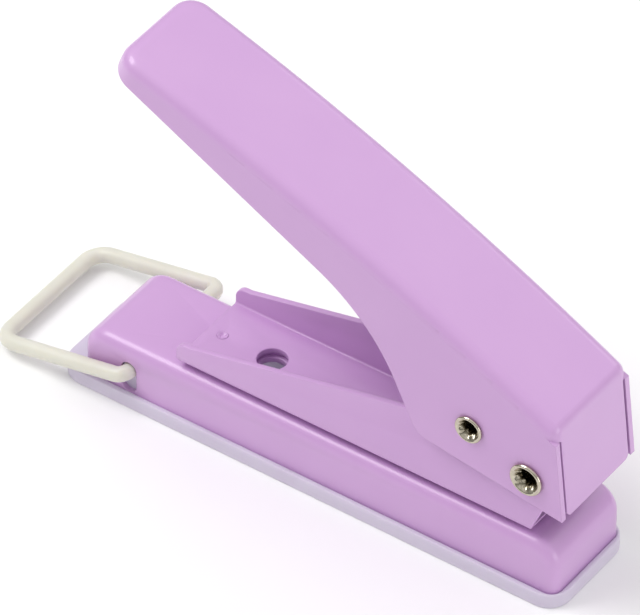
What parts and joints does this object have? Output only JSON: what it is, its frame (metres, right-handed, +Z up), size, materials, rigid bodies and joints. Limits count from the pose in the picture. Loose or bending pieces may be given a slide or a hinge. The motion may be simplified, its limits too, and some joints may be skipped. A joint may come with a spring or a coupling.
{
  "type": "hole punch",
  "caption": "Hand-held lever punch that cuts a round hole in paper or thin card, with a swinging bail and a snap-off chip tray.",
  "frame": {"origin": "on the flat underside of the chip tray, in its middle plane", "axes": "+X towards the punching end, +Y across the punch, +Z up"},
  "size_m": [0.1082, 0.0285, 0.0716],
  "materials": {
    "painted_steel": "satin lilac paint",
    "tray_plastic": "frosted translucent polypropylene",
    "bail_plastic": "natural milky nylon",
    "nickel_rivet": "bright nickel plate",
    "plated_steel": "zinc-plated steel",
    "tool_steel": "ground hardened steel",
    "spring_wire": "drawn spring wire"
  },
  "bodies": {
    "tray": {"chip_tray": "tray_plastic"},
    "frame": {"base_shell": "painted_steel", "die_plate": "tool_steel", "die_rivets": "plated_steel", "throat_spacer": "plated_steel", "bracket": "painted_steel", "frame_rivets": "painted_steel", "guide_bush": "plated_steel", "return_spring": "spring_wire"},
    "handle": {"handle_shell": "painted_steel", "pivot_rivet": "nickel_rivet", "pivot_sleeve": "plated_steel", "driver_rivet": "nickel_rivet", "driver_sleeve": "plated_steel"},
    "punch": {"punch_pin": "tool_steel", "retaining_clip": "spring_wire", "spring_washer": "plated_steel"},
    "bail": {"bail": "bail_plastic"}
  },
  "joints": [
    {"name": "tray_release", "type": "hinge", "parent": "tray", "child": "frame", "pos_m": [0.04715, 0, 0.0028], "axis": [0, 1, 0], "range_deg": [0, 20]},
    {"name": "handle_pivot", "type": "hinge", "parent": "frame", "child": "handle", "pos_m": [0.042, 0, 0.0254], "axis": [0, -1, 0], "range_deg": [0, 31], "stiffness_Nm_per_rad": 0.05, "springref_deg": -17.19},
    {"name": "punch_slide", "type": "slide", "parent": "frame", "child": "punch", "axis": [0, 0, -1], "range_m": [0, 0.00617], "deforming": ["return_spring"]},
    {"name": "bail_swing", "type": "hinge", "parent": "frame", "child": "bail", "pos_m": [-0.034, 0.00225, 0.0069], "axis": [0, 1, 0], "range_deg": [-1.5, 60]}
  ],
  "couplings": [
    {"joint": "punch_slide", "follows": "handle_pivot", "m_per_rad": 0.0114}
  ]
}
